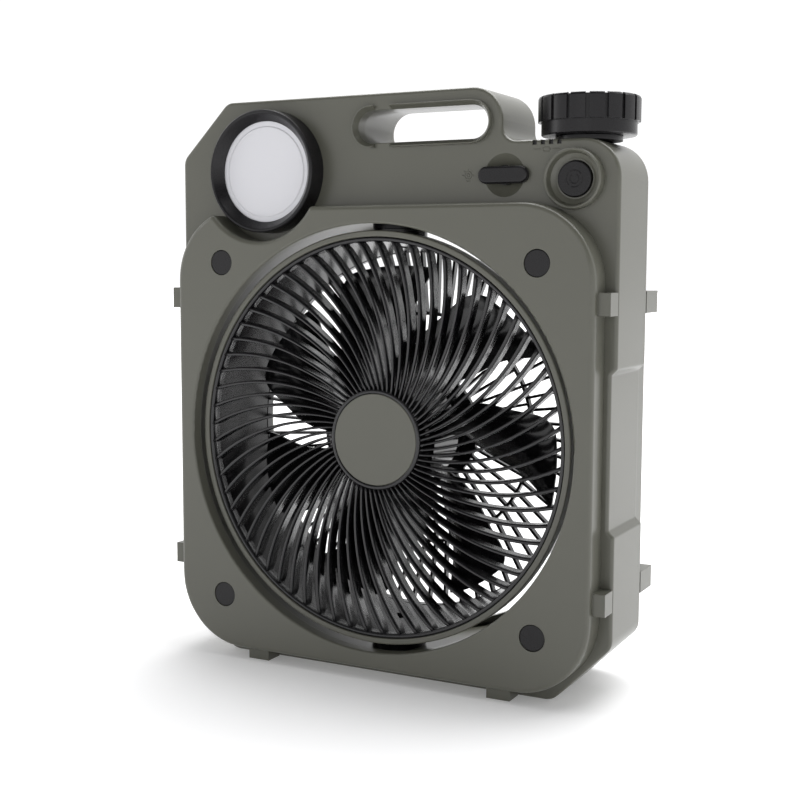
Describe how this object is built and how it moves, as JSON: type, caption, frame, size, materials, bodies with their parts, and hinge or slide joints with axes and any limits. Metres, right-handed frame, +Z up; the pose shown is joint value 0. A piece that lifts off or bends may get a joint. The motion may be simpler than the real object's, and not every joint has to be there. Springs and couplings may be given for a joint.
{
  "type": "box fan",
  "caption": "Rechargeable camping box fan: square body with top handle, round swivelling fan head with curved grille, lamp, dial, light knob and power button.",
  "frame": {"origin": "on the base plane, midway across the body's width and midway through its depth", "axes": "+Z up, the front face points to -Y, +X is to the right of someone facing the front"},
  "size_m": [0.2999, 0.095, 0.3584],
  "materials": {
    "olive_plastic": "satin, fine spark texture",
    "black_trim": "satin, fine texture",
    "black_grille": "satin",
    "blade_plastic": "gloss",
    "steel": "machined",
    "brass_bush": "machined",
    "diffuser": "frosted",
    "reflector": "white, smooth",
    "circuit_board": "solder mask",
    "cell_wrap": "shrink wrap on a metal can"
  },
  "bodies": {
    "frame": {"front_plate": "olive_plastic", "rear_plate": "olive_plastic", "front_shell": "olive_plastic", "rear_shell": "olive_plastic", "opening_liner": "olive_plastic", "screw_plugs": "black_trim", "front_plate_screws": "steel", "rear_plate_screws": "steel", "shell_screws": "steel", "lamp_bezel": "black_trim", "lamp_diffuser": "diffuser", "lamp_reflector": "reflector", "lamp_led_board": "circuit_board", "light_dimmer": "black_grille", "power_bezel": "olive_plastic", "power_switch": "black_grille", "control_board": "circuit_board", "indicator_lens": "black_trim", "dial_collar": "black_trim", "dial_encoder": "black_grille", "battery_cells": "cell_wrap", "battery_cradle": "black_grille", "charging_socket": "steel", "pivot_bosses": "black_trim", "pivot_bushes": "brass_bush"},
    "head": {"head_ring": "olive_plastic", "front_grille": "black_grille", "hub_badge": "olive_plastic", "head_housing": "black_grille", "rear_grille": "black_grille", "motor_base": "black_grille", "motor_screws": "steel", "motor_stator": "steel", "motor_bearings": "steel", "pivot_pins": "steel"},
    "rotor": {"fan_blades": "blade_plastic", "blade_nut": "blade_plastic", "motor_shaft": "steel", "rotor_cup": "steel", "rotor_magnet": "steel"},
    "speed_dial": {"speed_dial": "black_trim", "encoder_shaft": "steel"},
    "light_knob": {"light_knob": "black_trim", "dimmer_shaft": "steel"},
    "power_button": {"power_button": "black_trim"}
  },
  "joints": [
    {"name": "head_swivel", "type": "hinge", "parent": "frame", "child": "head", "pos_m": [0, -0.0075, 0], "axis": [0, 0, 1], "range_deg": [-60, 60]},
    {"name": "fan_spin", "type": "hinge", "parent": "head", "child": "rotor", "pos_m": [0, 0, 0.149], "axis": [0, 1, 0], "continuous": true},
    {"name": "speed_dial_turn", "type": "hinge", "parent": "frame", "child": "speed_dial", "pos_m": [0.121, -0.003, 0], "axis": [0, 0, -1], "range_deg": [0, 270]},
    {"name": "light_knob_turn", "type": "hinge", "parent": "frame", "child": "light_knob", "pos_m": [0.0797, 0, 0.3071], "axis": [0, 1, 0], "range_deg": [0, 270]},
    {"name": "power_button_press", "type": "slide", "parent": "frame", "child": "power_button", "axis": [0, 1, 0], "range_m": [0, 0.0015], "stiffness_N_per_m": 400, "springref_m": -0.002}
  ]
}
